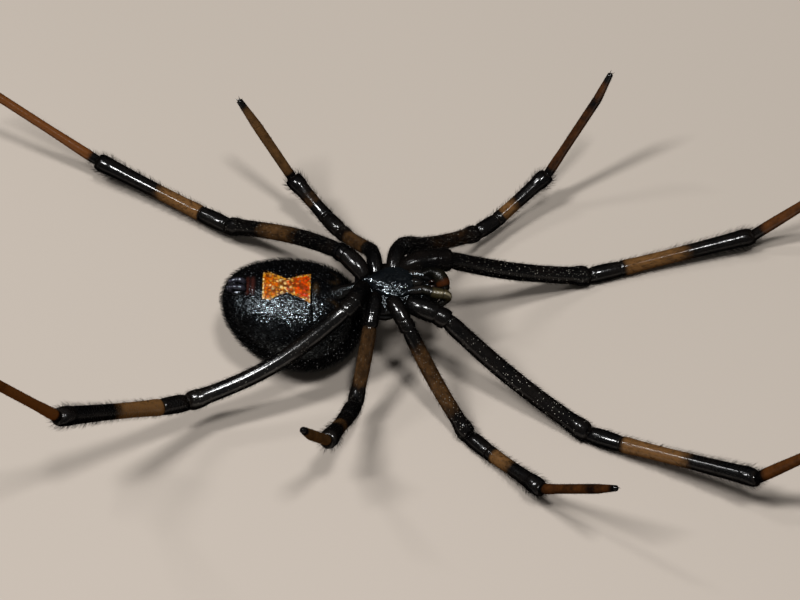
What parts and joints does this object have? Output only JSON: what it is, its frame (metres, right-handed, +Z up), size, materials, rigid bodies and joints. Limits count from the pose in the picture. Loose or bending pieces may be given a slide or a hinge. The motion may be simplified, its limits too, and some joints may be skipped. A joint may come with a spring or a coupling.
{
  "type": "black widow spider model",
  "caption": "Life-size still model of a black widow spider lying belly up, legs spread and lifted as in its web, with the red hourglass mark on its round black abdomen.",
  "frame": {"origin": "centre of the small flat on the abdomen's back, at floor level", "axes": "+X towards the spider's head, +Z up towards its belly side, +Y towards its right side"},
  "size_m": [0.047, 0.0245, 0.0145],
  "materials": {
    "shell_black": "glossy black cuticle",
    "mark_red": "orange-red mark with pale yellow edges",
    "mouth_brown": "brown-black cuticle",
    "palp_amber": "amber-brown cuticle with dark rings",
    "leg_amber": "translucent amber-brown cuticle, black at both ends",
    "leg_brown_black": "brown band near the knee, glossy black beyond",
    "leg_rust": "rust-brown cuticle with dark tips",
    "eye": "clear dark lens"
  },
  "bodies": {
    "root": {"abdomen": "shell_black", "hourglass": "mark_red", "carapace": "shell_black", "sternum": "shell_black", "labium": "mouth_brown", "pedicel": "shell_black", "spinnerets": "mouth_brown", "maxilla_left": "mouth_brown", "chelicera_left": "mouth_brown", "palp_left": "palp_amber", "eye_anterior_median_left": "eye", "eye_anterior_lateral_left": "eye", "eye_posterior_median_left": "eye", "eye_posterior_lateral_left": "eye", "leg_left_1_coxa": "shell_black", "leg_left_1_femur": "shell_black", "leg_left_1_tibia": "leg_brown_black", "leg_left_1_tarsus": "leg_rust", "leg_left_2_coxa": "shell_black", "leg_left_2_femur": "leg_amber", "leg_left_2_tibia": "leg_brown_black", "leg_left_2_tarsus": "leg_rust", "leg_left_3_coxa": "shell_black", "leg_left_3_femur": "leg_amber", "leg_left_3_tibia": "leg_brown_black", "leg_left_3_tarsus": "leg_rust", "leg_left_4_coxa": "shell_black", "leg_left_4_femur": "shell_black", "leg_left_4_tibia": "leg_brown_black", "leg_left_4_tarsus": "leg_rust", "maxilla_right": "mouth_brown", "chelicera_right": "mouth_brown", "palp_right": "palp_amber", "eye_anterior_median_right": "eye", "eye_anterior_lateral_right": "eye", "eye_posterior_median_right": "eye", "eye_posterior_lateral_right": "eye", "leg_right_1_coxa": "shell_black", "leg_right_1_femur": "shell_black", "leg_right_1_tibia": "leg_brown_black", "leg_right_1_tarsus": "leg_rust", "leg_right_2_coxa": "shell_black", "leg_right_2_femur": "leg_amber", "leg_right_2_tibia": "leg_brown_black", "leg_right_2_tarsus": "leg_rust", "leg_right_3_coxa": "shell_black", "leg_right_3_femur": "leg_amber", "leg_right_3_tibia": "leg_brown_black", "leg_right_3_tarsus": "leg_rust", "leg_right_4_coxa": "shell_black", "leg_right_4_femur": "shell_black", "leg_right_4_tibia": "leg_brown_black", "leg_right_4_tarsus": "leg_rust"}
  },
  "joints": []
}
